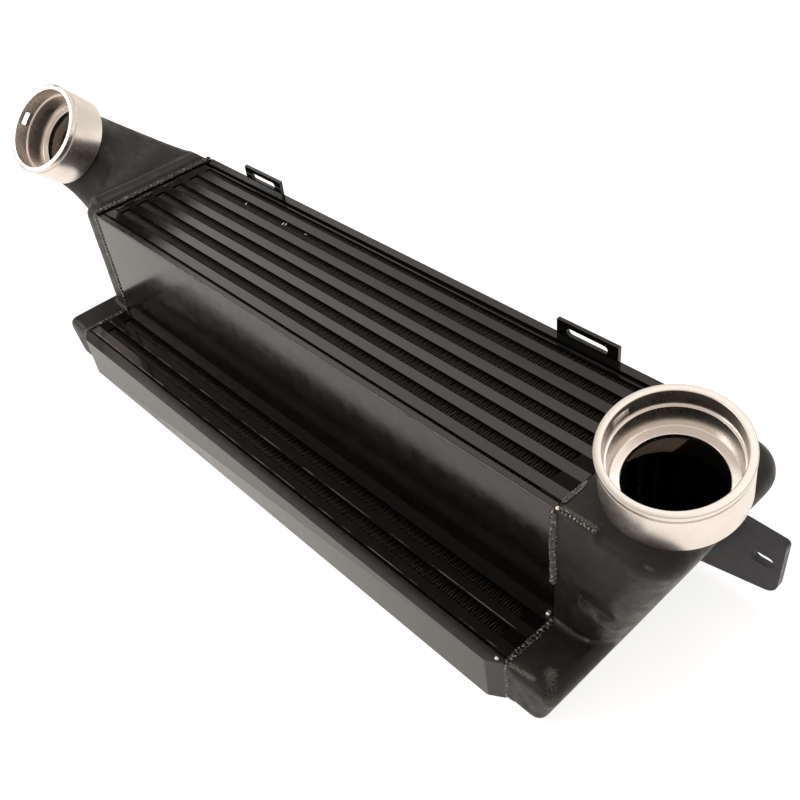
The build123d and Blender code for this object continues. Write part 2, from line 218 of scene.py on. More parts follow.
casting = {
    "base": "#171513", "dust": "#211d1a", "worn": "#8a827a", "bare": "#a39384",
    "roughness": 0.42, "smearLow": 0.85, "smearHigh": 1.25, "smearSize": 7,
    "sheen": 0.3, "cloudSize": 18, "speckleSize": 1.1,
    "wornFrom": 0.82, "wornTo": 1.55, "grainSize": 1.3, "grainDepth": 0.06,
    "swellSize": 9.0, "swellDepth": 0.22,
}


def castPaint(name):
    # Sand cast aluminium under satin black paint: softly pebbled, with rubbed speckled edges and painted
    # highlights in the same light speckled tone
    material, tree, shader, place = newMaterial(name, {"IOR": 1.5, "Specular IOR Level": casting["sheen"]})
    cloud = addNode(tree, "TexNoise", {"Scale": perMillimetre(casting["cloudSize"]), "Detail": 3.0},
                    {"Vector": place})
    dusty = addNode(tree, "MapRange", middle, {"Value": cloud})
    tones = {6: toLinear(casting["base"]), 7: toLinear(casting["dust"])}
    dark = addNode(tree, "Mix", {"data_type": "RGBA", **tones}, {0: dusty})
    wear = addNode(tree, "Attribute", {"attribute_name": "wear"}).outputs["Fac"]
    speckle = addNode(tree, "TexNoise", {"Scale": perMillimetre(casting["speckleSize"]), "Detail": 5.0},
                      {"Vector": place})
    speckledWearAndHighlight = addNode(tree, "Math", {"operation": "ADD"}, {0: wear, 1: speckle})
    share = addNode(tree, "MapRange", {"From Min": casting["wornFrom"], "From Max": casting["wornTo"]},
                    {"Value": speckledWearAndHighlight})
    # the light tone marks worn edges and, at the listed places, painted highlights
    outside = addNode(tree, "Mix", {"data_type": "RGBA", 7: toLinear(casting["worn"])}, {0: share, 6: dark})
    # a light bare tone inside the neck, deeper on its lit left side: bare metal with a painted pool of light
    lining = addNode(tree, "Attribute", {"attribute_name": "lining"}).outputs["Fac"]
    whole = addNode(tree, "Mix", {"data_type": "RGBA", 7: toLinear(casting["bare"])}, {0: lining, 6: outside})
    tree.links.new(whole.outputs[2], shader.inputs["Base Color"])
    smear = addNode(tree, "TexNoise", {"Scale": perMillimetre(casting["smearSize"]), "Detail": 4.0},
                    {"Vector": place})
    low, high = (casting["roughness"] * casting[key] for key in ("smearLow", "smearHigh"))
    uneven = addNode(tree, "MapRange", {**middle, "To Min": low, "To Max": high}, {"Value": smear})
    tree.links.new(uneven.outputs["Result"], shader.inputs["Roughness"])
    grain = addNode(tree, "TexNoise", {"Scale": perMillimetre(casting["grainSize"]), "Detail": 3.0},
                    {"Vector": place})
    fine = addNode(tree, "Bump", {"Distance": casting["grainDepth"] * mm}, {"Height": grain})
    swell = addNode(tree, "TexNoise", {"Scale": perMillimetre(casting["swellSize"]), "Detail": 2.0},
                    {"Vector": place})
    broad = addNode(tree, "Bump", {"Distance": casting["swellDepth"] * mm}, {"Height": swell, "Normal": fine})
    tree.links.new(broad.outputs["Normal"], shader.inputs["Normal"])
    return material


tankPaint = castPaint("satin black paint on cast aluminium")


# Bare metals

turned = {
    # the rim is painted a darker tone than the sides, as painted shade against its bright reflection from
    # above, from this height above the seat
    "base": "#e9e2dc", "shade": "#e3dbd4", "mark": "#cfc5bb",
    "rim": "#cdc6bf", "rimFrom": 34.8, "rimTo": 35.3,
    "roughness": 0.28, "hazeLow": 0.96, "hazeHigh": 1.06, "hazeSize": 6,
    "cloudSize": 16, "markSize": 0.9, "markFrom": 0.74, "markTo": 0.80,
    "pitSize": 2.4, "pitDepth": 0.002, "ringDepth": 0.004,
    "ringSpacing": 0.9,  # a real cut's rings lie about 0.2 apart, too fine to show
}
# the turbulator sheet lies deep in its passages; its much darker tone is dull brazed metal and painted shade in
# one
sheet = {"base": "#5c5750", "shade": "#464139", "roughness": 0.55}


def turnedAluminium(name, base, shade, roughness):
    # Aluminium cut on a lathe and left bare: warm silver with fine rings, a few faint marks and
    # the soft gloss of metal that has been handled
    material, tree, shader, place = newMaterial(name, {"Metallic": 1.0})
    cloud = addNode(tree, "TexNoise", {"Scale": perMillimetre(turned["cloudSize"]), "Detail": 4.0},
                    {"Vector": place})
    shaded = addNode(tree, "MapRange", middle, {"Value": cloud})
    silver = addNode(tree, "Mix", {"data_type": "RGBA", 6: toLinear(base), 7: toLinear(shade)}, {0: shaded})
    speck = addNode(tree, "TexNoise", {"Scale": perMillimetre(turned["markSize"]), "Detail": 2.0},
                    {"Vector": place})
    limits = {"From Min": turned["markFrom"], "From Max": turned["markTo"]}
    marked = addNode(tree, "MapRange", limits, {"Value": speck})
    side = addNode(tree, "Mix", {"data_type": "RGBA", 7: toLinear(turned["mark"])}, {0: marked, 6: silver})
    height = addNode(tree, "Attribute", {"attribute_name": "axial"}).outputs["Fac"]
    # a darker tone on the upward facing rim: painted shade
    top = {"From Min": turned["rimFrom"] * mm, "From Max": turned["rimTo"] * mm}
    onShadedRim = addNode(tree, "MapRange", top, {"Value": height})
    whole = addNode(tree, "Mix", {"data_type": "RGBA", 7: toLinear(turned["rim"])}, {0: onShadedRim, 6: side})
    tree.links.new(whole.outputs[2], shader.inputs["Base Color"])
    haze = addNode(tree, "TexNoise", {"Scale": perMillimetre(turned["hazeSize"]), "Detail": 5.0},
                   {"Vector": place})
    low, high = (roughness * turned[key] for key in ("hazeLow", "hazeHigh"))
    uneven = addNode(tree, "MapRange", {**middle, "To Min": low, "To Max": high}, {"Value": haze})
    tree.links.new(uneven.outputs["Result"], shader.inputs["Roughness"])
    turns = 2 * math.pi / (turned["ringSpacing"] * mm)
    angle = addNode(tree, "Math", {"operation": "MULTIPLY", 1: turns}, {0: height})
    wave = addNode(tree, "Math", {"operation": "SINE"}, {0: angle})
    rings = addNode(tree, "Bump", {"Distance": turned["ringDepth"] * mm}, {"Height": wave})
    pits = addNode(tree, "TexNoise", {"Scale": perMillimetre(turned["pitSize"]), "Detail": 3.0},
                   {"Vector": place})
    pitted = addNode(tree, "Bump", {"Distance": turned["pitDepth"] * mm}, {"Height": pits, "Normal": rings})
    tree.links.new(pitted.outputs["Normal"], shader.inputs["Normal"])
    return material


collarMetal = turnedAluminium("turned bare aluminium", turned["base"], turned["shade"], turned["roughness"])
shadedSheetMetal = turnedAluminium("brazed aluminium sheet gone dull", **sheet)
print("materials made")


# Core: bars, sheets and plates keep their CAD shapes and get the small rounding that paint gives

core = {
    "stacks": (("deep", 6), ("shallow", 2)),
    "barRounding": 0.5, "sheetRounding": 0.3, "endBarRounding": 0.4,
    "flatWithin": 1, "sharpFrom": 28,  # degrees
    # the step plate's edges are rounded in the CAD
    "plateRounding": {
        "rear_sheet": 0.3, "step_side_plate": 0, "inner_side_plate": 0.5, "rear_side_plate": 1.0,
        "front_side_plate": 1.4,
    },
}


def camelName(source):
    first, *others = source.split("_")
    return first + "".join(word.title() for word in others)


def softened(name, sources, material, rounding, segments=3):
    shape = bmesh.new()
    for source in sources:
        shape.from_mesh(nodes[source].data)
    bmesh.ops.remove_doubles(shape, verts=shape.verts, dist=0.005 * mm)
    if rounding:
        flatWithin, sharpFrom = math.radians(core["flatWithin"]), math.radians(core["sharpFrom"])
        bmesh.ops.dissolve_limit(shape, angle_limit=flatWithin, verts=shape.verts, edges=shape.edges)
        sharp = [e for e in shape.edges if e.is_manifold and e.calc_face_angle() > sharpFrom]
        bmesh.ops.bevel(
            shape, geom=sharp, offset=rounding * mm, segments=segments, profile=0.5, clamp_overlap=True)
    mesh = bpy.data.meshes.new(name)
    shape.to_mesh(mesh)
    shape.free()
    piece = placePiece(name, mesh, material, sources, sharpAngle=40)
    piece.modifiers.new("flat faces stay flat", "WEIGHTED_NORMAL").keep_sharp = True
    return piece


for stack, passages in core["stacks"]:
    for number in range(1, passages + 1):
        bars, sheets = f"{stack}_bars_{number}", f"{stack}_sheets_{number}"
        barPaint = highlightedLowBarPaint.get(bars, corePaint)
        softened(f"{stack}Bars{number}", [bars], barPaint, core["barRounding"], 2)
        softened(f"{stack}Sheets{number}", [sheets], corePaint, core["sheetRounding"], 2)
        nodes[f"{stack}_turbulator_{number}"].data.materials.clear()
        nodes[f"{stack}_turbulator_{number}"].data.materials.append(shadedSheetMetal)

finRows = [name[:-len("_fins")] for name in sorted(nodes) if name.endswith("_fins")]
for row in finRows:
    name = row.replace("_", "") + "EndBars"
    # the end bars get painted shade in place of the shadow that the fin rows have
    softened(name, [f"{row}_end_bars"], endBarShadePaint, core["endBarRounding"], 2)

for source, rounding in core["plateRounding"].items():
    coat = highlightedStepPaint if source == "step_side_plate" else platePaint
    softened(camelName(source), [source], coat, rounding, 4)
print("bars, sheets and plates made")


# Air fins: folded sheet at its real pitch, a little uneven as pressed fins are

fins = {
    "legSpacing": 2.32, "crest": 1.8, "crestDrop": 2.6, "gauge": 0.2, "sway": 0.12, "topSway": 0.2, "seed": 7,
}


def finRow(row):
    low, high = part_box(f"{row}_fins")
    chance = random.Random(f"{fins['seed']} {row}")
    legs = max(2, round((high.x - low.x) / (fins["legSpacing"] * mm)))
    leg = (high.x - low.x) / legs
    margin = 0.6 * fins["gauge"] * mm  # half of the gauge and a little more
    crest = fins["crest"] * mm / 2
    drop = min(fins["crestDrop"] * mm, (high.z - low.z) / 4)  # less in a low row
    shape = bmesh.new()
    columns = []
    for i in range(legs + 1):
        along = low.x + i * leg + chance.uniform(-1, 1) * fins["sway"] * mm * (0 < i < legs)
        across = high.y - margin if i % 2 else low.y + margin
        lean = chance.uniform(-1, 1) * fins["topSway"] * mm
        for side in (-crest, crest):
            x = min(max(along + side, low.x + margin), high.x - margin)
            top = Vector((min(max(x + lean, low.x + margin), high.x - margin), across, high.z))
            near = Vector((x, across, high.z - drop))
            columns.append([shape.verts.new(p) for p in (Vector((x, across, low.z)), near, top)])
    for i, (here, following) in enumerate(zip(columns, columns[1:])):
        for k in range(2 if i % 2 else 1):  # a crest ends below the tops of the legs beside it
            shape.faces.new((here[k], following[k], following[k + 1], here[k + 1]))
    mesh = bpy.data.meshes.new(row)
    shape.to_mesh(mesh)
    shape.free()
    name = row.replace("_", "") + "Fins"
    piece = placePiece(name, mesh, finPaint, [f"{row}_fins"], sharpAngle=25)
    thick = piece.modifiers.new("sheet gauge", "SOLIDIFY")
    thick.thickness = fins["gauge"] * mm
    thick.offset = 0
    return piece


for row in finRows:
    finRow(row)
print("fin rows made:", len(finRows))


# Collars: turned rings with a lip, a groove, a cup for the seal and a slot for the spring clip

collars = {
    # the middle of the seat on the tank, the axis's turn and lift in degrees and where the slot stands
    "outlet_collar": {"seat": (304.0, 47.7, 151.4), "azimuth": -76.7, "elevation": 76.0, "clock": 162.0},
    "inlet_collar": {"seat": (-375.2, 42.8, 157.9), "azimuth": -81.8, "elevation": 44.6, "clock": 174.0},
}
ring = {
    "length": 35.5, "radius": 42.0, "turns": 192,
    "slotWidth": 12.0, "slotHeight": 4.5, "slotBelowRim": 4.0, "cutLength": 21.0,
    "section": [
        # radius, height and how much the corner is rounded, from the tank side round to the bore
        (29.5, 0.0, 0), (41.7, 0.0, 0.6), (41.7, 29.7, 0.5), (40.6, 29.7, 0.3), (40.6, 31.9, 0.3),
        (42.0, 31.9, 0.4), (42.0, 35.5, 1.0), (37.2, 35.5, 0.9), (37.2, 22.4, 0.8), (35.7, 22.4, 0.5),
        (35.7, 4.1, 1.6), (29.5, 4.1, 0.8),
    ],
}


def roundedSection(points):
    # every corner becomes a short arc of four points
    out = []
    for i, (r, h, rounding) in enumerate(points):
        corner = Vector((r, h))
        if not rounding:
            out.append(corner)
            continue
        before = Vector(points[i - 1][:2])
        after = Vector(points[(i + 1) % len(points)][:2])
        reach = min(rounding, (before - corner).length / 2.2, (after - corner).length / 2.2)
        start = corner + (before - corner).normalized() * reach
        end = corner + (after - corner).normalized() * reach
        for t in (0, 0.33, 0.67, 1):
            out.append((start * (1 - t) + corner * t) * (1 - t) + (corner * (1 - t) + end * t) * t)
    return out


def collarFrame(source):
    values = collars[source]
    turn, lift = math.radians(values["azimuth"]), math.radians(values["elevation"])
    axis = Vector((math.cos(lift) * math.cos(turn), math.cos(lift) * math.sin(turn), math.sin(lift)))
    level = Vector((0, 0, 1)).cross(axis).normalized()
    across = axis.cross(level)
    return Vector(values["seat"]) * mm, level, across, axis


def ringMesh(name, source):
    seat, level, across, axis = collarFrame(source)
    section = roundedSection(ring["section"])
    turns, count = ring["turns"], len(section)
    shape = bmesh.new()
    grid = []
    for k in range(turns):
        angle = 2 * math.pi * k / turns
        outwards = level * math.cos(angle) + across * math.sin(angle)
        grid.append([shape.verts.new(seat + outwards * (p.x * mm) + axis * (p.y * mm)) for p in section])
    for k in range(turns):
        here, following = grid[k], grid[(k + 1) % turns]
        for j in range(count):
            after = (j + 1) % count
            shape.faces.new((here[j], following[j], following[after], here[after]))
    bmesh.ops.recalc_face_normals(shape, faces=shape.faces)
    mesh = bpy.data.meshes.new(name + "Ring")
    shape.to_mesh(mesh)
    shape.free()
    return mesh


def slotMesh(name, source):
    # a block that stands across the ring where the spring clip's slot is cut
    seat, level, across, axis = collarFrame(source)
    clock = math.radians(collars[source]["clock"])
    outwards = level * math.cos(clock) + across * math.sin(clock)
    sideways = axis.cross(outwards)
    centre = seat + outwards * (ring["radius"] * mm)
    centre += axis * ((ring["length"] - ring["slotBelowRim"] - ring["slotHeight"] / 2) * mm)
    size = Matrix.Diagonal((ring["cutLength"] * mm, ring["slotWidth"] * mm, ring["slotHeight"] * mm, 1))
    turn = Matrix((outwards, sideways, axis)).transposed().to_4x4()
    shape = bmesh.new()
    bmesh.ops.create_cube(shape, size=1)
    shape.transform(Matrix.Translation(centre) @ turn @ size)
    mesh = bpy.data.meshes.new(name + "SlotShape")
    shape.to_mesh(mesh)
    shape.free()
    return mesh


def turnedCollar(name, source):
    body = bpy.data.objects.new(name + "Body", ringMesh(name, source))
    slotTool = bpy.data.objects.new(name + "SlotTool", slotMesh(name, source))
    for helper in (slotTool, body):
        scene.collection.objects.link(helper)
    cut = body.modifiers.new("clip slot", "BOOLEAN")
    cut.operation = "DIFFERENCE"
    cut.object = slotTool
    graph = bpy.context.evaluated_depsgraph_get()
    mesh = bpy.data.meshes.new_from_object(body.evaluated_get(graph))
    for helper in (slotTool, body):
        bpy.data.objects.remove(helper)
    seat, level, across, axis = collarFrame(source)
    places = readVectors(mesh.vertices, "co")
    low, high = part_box(source)
    mesh.vertices.foreach_set("co", np.clip(places, np.array(low), np.array(high)).ravel())
    addShade(mesh, "axial", (places - np.array(seat)) @ np.array(axis))
    return placePiece(name, mesh, collarMetal, [source], sharpAngle=32)


turnedCollar("outletCollar", "outlet_collar")
turnedCollar("inletCollar", "inlet_collar")
print("collars made")


# Cast tanks: the CAD forms melted together a little, with an uneven cast skin

tanks = {
    "voxel": 1.3, "smoothing": 7, "swellHeight": 0.3, "swellLength": 34.0,
    "edgeWear": 1.6, "mostEdgeWear": 0.3,
    "neckThickening": 1.6, "neckFromX": -285, "neckFromZ": 105,
    # the neck is eased below its seat, beyond an x and above a z, each coming in over a length
    "neckSmoothing": 50, "neckShare": 0.6,
    "easeBelow": (4, 8), "easeBeyond": (288, 12), "easeAbove": (100, 15),
    "liningRadius": 37.0, "liningSpread": 20, "liningDepth": {"right_end_tank": 30.0, "left_end_tank": 8.0},
}
wearAndHighlightPlaces = {
    # worn edges and painted highlights as start, end, reach and how bare and light they are
    "right_end_tank": [
        ((285, -35, 37), (294, -45, 31), 5.5, 0.74),
        ((262, -47, 38), (280, -44.5, 38), 2.2, 0.8),
        ((263, -3, 39), (287, -2, 38.5), 1.8, 0.8),
        ((292, -1, 66), (299, 4, 58), 3.0, 0.85),
        ((293, 3, 42), (298, 12, 33), 2.4, 0.6),
        ((264, 1.5, 141), (288, 1.5, 141), 2.0, 0.75),
        ((320, 1, 135), (332, 12, 129), 2.0, 0.6),
    ],
    "left_end_tank": [
        ((-280, 14, 145), (-277, 108, 145), 2.6, 0.5),
        ((-262, -3, 38.5), (-285, -3, 38.5), 2.0, 0.5),
        ((-262, -48, 38), (-280, -45, 38), 2.2, 0.5),
        ((-263, -3, 140), (-263, -3, 45), 1.6, 0.5),
    ],
}
raisedPlaces = {
    # low ridges left by the mould as start, end, reach and height
    "right_end_tank": [((292, -1, 66), (300, 5, 57), 3.0, 0.8)],
    "left_end_tank": [((-280, 12, 143), (-277, 112, 143), 4.6, 1.9)],
}


def distanceToSegment(points, start, end):
    start, end = np.array(start, float), np.array(end, float)
    along = np.clip((points - start) @ (end - start) / ((end - start) @ (end - start)), 0, 1)
    return np.linalg.norm(points - (start + along[:, None] * (end - start)), axis=1)


def neighbourMean(places, edges):
    count = len(places)
    ends = np.concatenate((edges, edges[:, ::-1]))
    number = np.bincount(ends[:, 0], minlength=count)
    total = [np.bincount(ends[:, 0], weights=places[ends[:, 1], k], minlength=count) for k in range(3)]
    return np.stack(total, axis=1) / number[:, None]


def thickenNeck(shape):
    # the thinnest walls of the neck get a little more metal on the inside, so that the skin stays whole
    tree = BVHTree.FromBMesh(shape)
    inner = []
    for vertex in shape.verts:
        if vertex.co.x < tanks["neckFromX"] * mm and vertex.co.z > tanks["neckFromZ"] * mm:
            start = vertex.co + vertex.normal * (0.05 * mm)
            if tree.ray_cast(start, vertex.normal, 150 * mm)[0] is not None:
                inner.append(vertex)
    for vertex in inner:
        vertex.co += vertex.normal * (tanks["neckThickening"] * mm)


def meltedMesh(name, source):
    shape = bmesh.new()
    shape.from_mesh(nodes[source].data)
    bmesh.ops.remove_doubles(shape, verts=shape.verts, dist=0.01 * mm)
    if source == "left_end_tank":
        thickenNeck(shape)
    wall = bpy.data.meshes.new(name + "Wall")
    shape.to_mesh(wall)
    shape.free()
    rough = bpy.data.objects.new(name + "Rough", wall)
    scene.collection.objects.link(rough)
    melt = rough.modifiers.new("melt", "REMESH")
    melt.mode = "VOXEL"
    melt.voxel_size = tanks["voxel"] * mm
    soft = rough.modifiers.new("soft", "SMOOTH")
    soft.factor = 0.5
    soft.iterations = tanks["smoothing"]
    graph = bpy.context.evaluated_depsgraph_get()
    mesh = bpy.data.meshes.new_from_object(rough.evaluated_get(graph))
    bpy.data.objects.remove(rough)
    return mesh


def easeNeck(places, edges, depth):
    # the left neck flows into its tank and up to its collar without creases; depth is below the seat
    share = np.full(len(places), tanks["neckShare"])
    for key, reach in (
        ("easeBelow", depth), ("easeBeyond", -places[:, 0] / mm), ("easeAbove", places[:, 2] / mm),
    ):
        start, length = tanks[key]
        share *= np.clip((reach - start) / length, 0, 1)
    for _ in range(tanks["neckSmoothing"]):
        places += share[:, None] * (neighbourMean(places, edges) - places)


def castSkin(places, normals, source):
    swell = np.array([noise.noise(Vector(p) / (tanks["swellLength"] * mm)) for p in places])
    lift = swell * tanks["swellHeight"]
    for start, end, reach, height in raisedPlaces[source]:
        lift += height * np.exp(-(distanceToSegment(places / mm, start, end) / reach) ** 2)
    low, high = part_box(source)
    return np.clip(places + normals * (lift * mm)[:, None], np.array(low), np.array(high))


def wearAndHighlightShare(places, normals, edges, source):
    # edges wear where the skin turns outwards from its neighbours' mean place; the listed places add painted
    # highlights, partly rubbed paint
    offset = places - neighbourMean(places, edges)
    turn = np.einsum("ij,ij->i", offset, normals) / (tanks["voxel"] * mm)
    wear = np.clip(turn * tanks["edgeWear"], 0, tanks["mostEdgeWear"])
    for start, end, reach, bare in wearAndHighlightPlaces[source]:
        near = np.exp(-(distanceToSegment(places / mm, start, end) / reach) ** 2)
        wear = np.maximum(wear, bare * near)
    return wear


def litBareLining(places, normals, source, collarName):
    # the inside of the neck under the collar was masked when the tank was painted; the bare tone reaches deeper
    # towards the left, where light falls in, as a painted pool of light
    seat, level, across, axis = collarFrame(collarName)
    below = places - np.array(seat)
    depth = -below @ np.array(axis) / mm
    spoke = below / mm + depth[:, None] * np.array(axis)
    inwards = np.einsum("ij,ij->i", spoke, normals) < 0
    leftwards = -below @ np.array(level) / mm
    # deeper towards the left, following where the light falls: painted light
    reach = np.clip(leftwards / tanks["liningSpread"], 0, 1) * tanks["liningDepth"][source]
    near = np.linalg.norm(spoke, axis=1) < tanks["liningRadius"]
    return near & inwards & (depth > 1) & (depth < reach)


def castTank(name, source, collarName):
    mesh = meltedMesh(name, source)
    places = readVectors(mesh.vertices, "co")
    edges = np.zeros(len(mesh.edges) * 2, int)
    mesh.edges.foreach_get("vertices", edges)
    edges = edges.reshape(-1, 2)
    if source == "left_end_tank":
        seat, level, across, axis = collarFrame(collarName)
        easeNeck(places, edges, -(places - np.array(seat)) @ np.array(axis) / mm)
    mesh.vertices.foreach_set("co", places.ravel())
    mesh.update()
    normals = readVectors(mesh.vertices, "normal")
    places = castSkin(places, normals, source)
    mesh.vertices.foreach_set("co", places.ravel())
    addShade(mesh, "wear", wearAndHighlightShare(places, normals, edges, source))
    addShade(mesh, "lining", litBareLining(places, normals, source, collarName))
    mesh.update()
    return placePiece(name, mesh, tankPaint, [source], sharpAngle=None)


castTank("rightEndTank", "right_end_tank", "outlet_collar")
castTank("leftEndTank", "left_end_tank", "inlet_collar")
print("tanks made")


# Hangers: cut plates with rounded edges

hangers = {"tabRounding": 0.6, "earRounding": 0.9}

for source in ("hanger_tab_1", "hanger_tab_2"):
    softened(camelName(source), [source], corePaint, hangers["tabRounding"])
softened("mountingEar", ["mounting_ear"], earPaint, hangers["earRounding"], 4)
print("hangers made")


# Weld beads: overlapping scales laid along each seam

weld = {
    # a scale's ripple depth is a share of the bead's height, and so is how far the bead sinks in
    "stepsPerScale": 6, "around": 11, "depth": 0.55, "sink": 0.25, "curl": 0.35, "widthRipple": 0.1,
    "wander": 0.3, "wanderLength": 7.0, "jitter": 0.05, "endFade": 0.8, "endHeight": 0.25,
}


def inMillimetres(value):
    # without the noise in the last digits, so that the number of steps along a bead is certain
    return round(value / mm, 3)


stepLow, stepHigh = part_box("step_side_plate")
endX, top = inMillimetres(stepHigh.x), inMillimetres(stepHigh.z)  # the ends lie at plus and minus endX
front, step = inMillimetres(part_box("left_end_tank")[0].y), inMillimetres(stepLow.y)
rear, lowTop = inMillimetres(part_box("rear_side_plate")[1].y), inMillimetres(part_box("inner_side_plate")[1].z)
leftX, leftTopX, rightX = -endX - 1.2, -endX - 0.8, endX + 1.2  # a little out from the core's ends
lowZ = lowTop + 0.5
alongX = (1, 0, 0)
slant = (0, 0.8, 0.6)
leftSeamBeads = [
    # start, end, direction across the bead, width, height, scale pitch and seed
    ((leftTopX, rear - 0.7, top + 1.6), (leftTopX, step + 0.6, top + 1.6), alongX, 5.0, 2.6, 3.4, "left top"),
    ((leftX, step, top), (leftX, step, lowTop + 0.9), alongX, 4.4, 1.5, 3.6, "left step"),
    ((leftX, step, lowZ), (leftX, front + 0.5, lowZ), alongX, 4.4, 1.7, 3.0, "left low"),
    ((leftX, front + 0.4, lowTop - 0.1), (leftX, front + 0.4, 1), alongX, 3.8, 1.4, 3.4, "left front"),
    ((leftX, rear - 0.5, 2), (leftX, rear - 0.5, top - 1.4), alongX, 4.4, 1.3, 3.4, "left rear"),
    ((-endX + 7.6, 14, top + 0.1), (-endX + 7.6, 24, top + 0.1), alongX, 2.0, 1.0, 2.2, "spill one"),
    ((-endX + 7.8, 33, top + 0.1), (-endX + 7.2, 52, top + 0.1), alongX, 2.4, 1.1, 2.6, "spill two"),
    ((-endX + 7.2, 62, top + 0.1), (-endX + 6.8, 74, top + 0.1), alongX, 1.8, 0.9, 2.0, "spill three"),
]
rightSeamBeads = [
    ((endX + 0.2, step - 0.4, top - 0.4), (endX + 0.2, step - 0.4, 72), alongX, 5.6, 2.8, 4.2, "right step"),
    ((rightX, step, lowZ), (rightX, front + 0.5, lowZ), alongX, 4.4, 1.5, 3.2, "right low"),
    ((rightX, front + 0.4, lowTop - 0.1), (rightX, front + 0.4, 1), alongX, 3.8, 1.3, 3.4, "right front"),
    ((rightX, rear - 0.5, 2), (rightX, rear - 0.5, top - 1.4), alongX, 4.4, 1.3, 3.4, "right rear"),
    ((endX + 1.4, 3, top + 0.2), (endX + 1.4, 26, top + 0.2), alongX, 3.2, 1.4, 3.0, "right top"),
    ((endX + 2, step + 1.4, top - 0.2), (endX + 29, step + 2, top - 0.2), slant, 3.6, 1.3, 2.6, "shoulder"),
]


def weldBead(shape, start, end, side, width, height, pitch, seed):
    # up is square to the bead's run and to the direction across it
    chance = random.Random(seed)
    start, end, side = Vector(start), Vector(end), Vector(side)
    total = (end - start).length
    up = (end - start).cross(side).normalized()
    steps = max(4, int(total / pitch * weld["stepsPerScale"]))
    rings = []
    for i in range(steps + 1):
        travel = total * i / steps
        fade = min(1, min(travel, total - travel) / (pitch * weld["endFade"]) + weld["endHeight"])
        sway = weld["wander"] * math.sin(travel / weld["wanderLength"])
        sway += chance.uniform(-weld["jitter"], weld["jitter"])
        circle = []
        for k in range(weld["around"]):
            across = math.pi * k / (weld["around"] - 1)
            lateral = math.cos(across)
            phase = (travel / pitch + weld["curl"] * lateral * lateral) % 1.0
            scale = 1 - weld["depth"] * (1 - phase) ** 2
            half = width / 2 * fade * (1 + weld["widthRipple"] * (scale - 1))
            lift = height * fade * scale * math.sin(across) - weld["sink"] * height
            place = start.lerp(end, i / steps) + side * (lateral * half + sway) + up * lift
            circle.append(shape.verts.new(place * mm))
        rings.append(circle)
    for here, following in zip(rings, rings[1:]):
        for k in range(weld["around"]):
            after = (k + 1) % weld["around"]
            shape.faces.new((here[k], following[k], following[after], here[after]))
    shape.faces.new(rings[0])
    shape.faces.new(list(reversed(rings[-1])))


def weldPiece(name, beads, replaced):
    shape = bmesh.new()
    for bead in beads:
        weldBead(shape, *bead)
    bmesh.ops.recalc_face_normals(shape, faces=shape.faces)
    mesh = bpy.data.meshes.new(name)
    shape.to_mesh(mesh)
    shape.free()
    return placePiece(name, mesh, weldPaint, replaced, sharpAngle=50)


weldPiece("leftSeamWeld", leftSeamBeads, ["left_seam_bead"])
weldPiece("rightSeamWeld", rightSeamBeads, ["right_seam_bead"])


# Bright spots: drops of weld metal and burrs on the fins that shed their paint

brightSpots = {
    # drops as place and radius, burrs as place, length along the row and length across it
    "drops": [((256.5, -3.4, 39.0), 1.7), ((254.5, -49.0, 38.2), 1.6), ((262.5, -2.0, 141.6), 1.3)],
    "burrs": [
        ((-165.7, 93.6, 139.4), 1.2, 3.4), ((-112.4, 93.2, 139.4), 1.1, 4.6),
        ((-109.4, 93.8, 139.4), 1.0, 3.8), ((-84.0, 94.6, 139.0), 2.6, 0.9),
    ],
    "burrHeight": 0.5, "burrTurn": 24,
}


def dropsAndBurrs(name):
    shape = bmesh.new()
    for place, radius in brightSpots["drops"]:
        at = Matrix.Translation(Vector(place) * mm)
        bmesh.ops.create_uvsphere(shape, u_segments=20, v_segments=12, radius=radius * mm, matrix=at)
    for place, length, depth in brightSpots["burrs"]:
        size = Matrix.Diagonal((length * mm, depth * mm, brightSpots["burrHeight"] * mm, 1))
        turn = Matrix.Rotation(math.radians(brightSpots["burrTurn"]), 4, "Z")
        at = Matrix.Translation(Vector(place) * mm) @ turn @ size
        bmesh.ops.create_icosphere(shape, subdivisions=3, radius=0.5, matrix=at)
    mesh = bpy.data.meshes.new(name)
    shape.to_mesh(mesh)
    shape.free()
    return placePiece(name, mesh, collarMetal, sharpAngle=None)


dropsAndBurrs("brightSpots")
print("welds made")


# Stage: pale floor and plain soft light

floorStage = {"colour": "#dcdcdc", "glow": 0.80, "roughness": 0.9, "reach": 4.0, "height": -0.0001}
room = {
    # strengths, and directions with the two dot products between which each one comes in
    "warmth": "#fff7ef", "diffuse": 0.40, "glossy": 0.85, "corner": 0.03,
    "windowLow": 1.85, "windowHigh": 1.35, "windowFrom": 0.46, "windowTo": 0.72, "windowEdge": 0.55,
    "rear": ((-0.80, 0.50, 0.33), 0.68, 0.84),
    "sill": ((0.595, 0.375, 0.711), -0.001, 0.017),
    "dark": ((-0.83, 0.37, 0.42), 0.90, 0.97),
    "edge": ((0, 1, -0.9), -0.05, 0.015),
}
lamps = {
    # place, target, width, height and radiance
    "keyLamp": ((-1.15, -1.2, 0.95), (0, 0, 0.08), 1.5, 0.14, 14.0),
    "topLamp": ((0.2, 0.5, 1.9), (0, 0.03, 0.08), 1.4, 1.0, 1.0),
}


